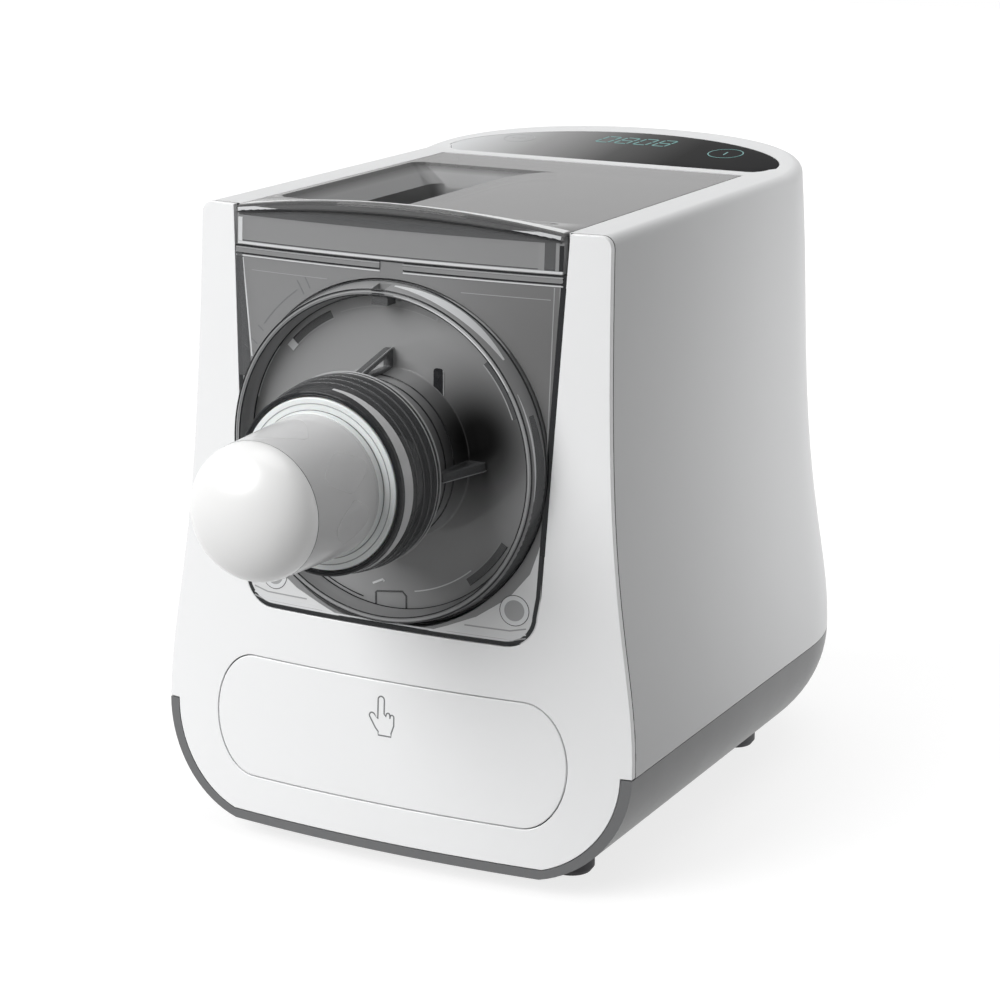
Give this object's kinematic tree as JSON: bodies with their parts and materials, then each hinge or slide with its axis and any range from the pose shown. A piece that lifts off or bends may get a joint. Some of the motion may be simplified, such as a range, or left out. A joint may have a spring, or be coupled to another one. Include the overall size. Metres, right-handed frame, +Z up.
{
  "type": "electric pasta maker",
  "caption": "Countertop electric pasta maker with a see-through mixing bowl, an extruding nozzle with a cap, a touch panel and a push-open drawer for accessories.",
  "frame": {"origin": "centre of the bounding box at its lowest height, on the surface that the feet stand on", "axes": "+Z up, +Y from the nozzle towards the back, +X to the right as seen from the front"},
  "size_m": [0.224, 0.4166, 0.2824],
  "materials": {
    "white_gloss": "high gloss white",
    "white_satin": "satin white",
    "base_gray": "satin warm gray",
    "white_food": "white food-grade plastic",
    "smoke_clear": "smoke-tinted clear plastic",
    "smoke_dark": "dark smoke-tinted clear plastic",
    "frost_clear": "clear plastic with a milky tint",
    "panel_black": "printed black glass",
    "display": "dark display filter",
    "inner_gray": "light gray plastic",
    "black_plastic": "black plastic",
    "rubber_gray": "dark gray rubber",
    "steel": "bright steel",
    "sheet_steel": "zinc-plated sheet steel",
    "cast_alloy": "die-cast aluminium",
    "gear_steel": "sintered steel",
    "gear_nylon": "natural nylon",
    "lamination": "stacked steel laminations",
    "copper": "enamelled copper wire",
    "board_green": "green circuit board"
  },
  "bodies": {
    "body": {"outer_shell": "white_satin", "front_panel": "white_gloss", "base_tub": "base_gray", "feet": "rubber_gray", "foot_screws": "steel", "shell_screws": "steel", "front_frame": "inner_gray", "frame_screws": "steel", "bulkhead": "sheet_steel", "bulkhead_screws": "steel", "window_plate": "smoke_clear", "mixing_bowl": "smoke_clear", "disc_gasket": "rubber_gray", "lid_pins": "steel", "lid_sensor": "black_plastic", "control_glass": "panel_black", "control_tray": "inner_gray", "control_board": "board_green", "display_module": "display", "touch_springs": "steel", "board_screws": "steel", "drawer_runners": "inner_gray", "push_latch": "inner_gray", "latch_spring": "steel", "gearbox_housing": "cast_alloy", "gearbox_cover": "cast_alloy", "gearbox_screws": "steel", "shaft_seal": "rubber_gray", "shaft_bearings": "steel", "idler_pin": "steel", "stator_core": "lamination", "stator_windings": "copper", "front_bell": "cast_alloy", "rear_bell": "cast_alloy", "motor_bearings": "steel", "motor_bolts": "steel", "motor_saddle": "inner_gray", "power_inlet": "black_plastic", "power_board": "board_green"},
    "front_disc": {"locking_ring": "smoke_clear", "extruder_disc": "smoke_clear"},
    "die": {"pasta_die": "white_food"},
    "nut": {"die_nut": "smoke_dark"},
    "cap": {"cap_sleeve": "frost_clear", "cap_dome": "white_food"},
    "screw": {"mixing_screw": "white_food", "mixing_rods": "steel", "drive_shaft": "steel", "output_gear": "gear_nylon"},
    "idler": {"idler_gear": "gear_steel"},
    "motor_rotor": {"rotor_core": "lamination", "motor_shaft": "steel", "motor_pinion": "gear_steel", "cooling_fan": "inner_gray"},
    "lid": {"lid": "smoke_clear", "lid_magnet": "steel"},
    "drawer": {"drawer_front": "white_gloss", "drawer_box": "white_food", "drawer_striker": "steel"},
    "latch": {"latch_tongue": "inner_gray"}
  },
  "joints": [
    {"name": "disc_turn", "type": "hinge", "parent": "body", "child": "front_disc", "pos_m": [0, -0.08675, 0.179], "axis": [0, -1, 0], "range_deg": [0, 40]},
    {"name": "die_slide", "type": "slide", "parent": "front_disc", "child": "die", "axis": [0, -1, 0], "range_m": [0, 0.01]},
    {"name": "nut_spin", "type": "hinge", "parent": "die", "child": "nut", "pos_m": [0, -0.13375, 0.179], "axis": [0, -1, 0], "range_deg": [0, 900]},
    {"name": "cap_pull", "type": "slide", "parent": "die", "child": "cap", "axis": [0, -1, 0], "range_m": [0, 0.07]},
    {"name": "screw_spin", "type": "hinge", "parent": "body", "child": "screw", "pos_m": [0, 0.09325, 0.179], "axis": [0, -1, 0], "continuous": true},
    {"name": "idler_spin", "type": "hinge", "parent": "body", "child": "idler", "pos_m": [0.02109, 0.11825, 0.11016], "axis": [0, -1, 0], "continuous": true},
    {"name": "rotor_spin", "type": "hinge", "parent": "body", "child": "motor_rotor", "pos_m": [0, 0.06325, 0.069], "axis": [0, -1, 0], "continuous": true},
    {"name": "lid_hinge", "type": "hinge", "parent": "body", "child": "lid", "pos_m": [0, 0.09405, 0.2725], "axis": [-1, 0, 0], "range_deg": [0, 95]},
    {"name": "drawer_slide", "type": "slide", "parent": "body", "child": "drawer", "axis": [0, -1, 0], "range_m": [-0.0025, 0.085]},
    {"name": "latch_push", "type": "slide", "parent": "body", "child": "latch", "axis": [0, 1, 0], "range_m": [0, 0.004], "stiffness_N_per_m": 400}
  ],
  "couplings": [
    {"joint": "die_slide", "follows": "nut_spin", "m_per_rad": 0.00063662},
    {"joint": "idler_spin", "follows": "screw_spin", "ratio": -5},
    {"joint": "rotor_spin", "follows": "screw_spin", "ratio": 21.429}
  ]
}
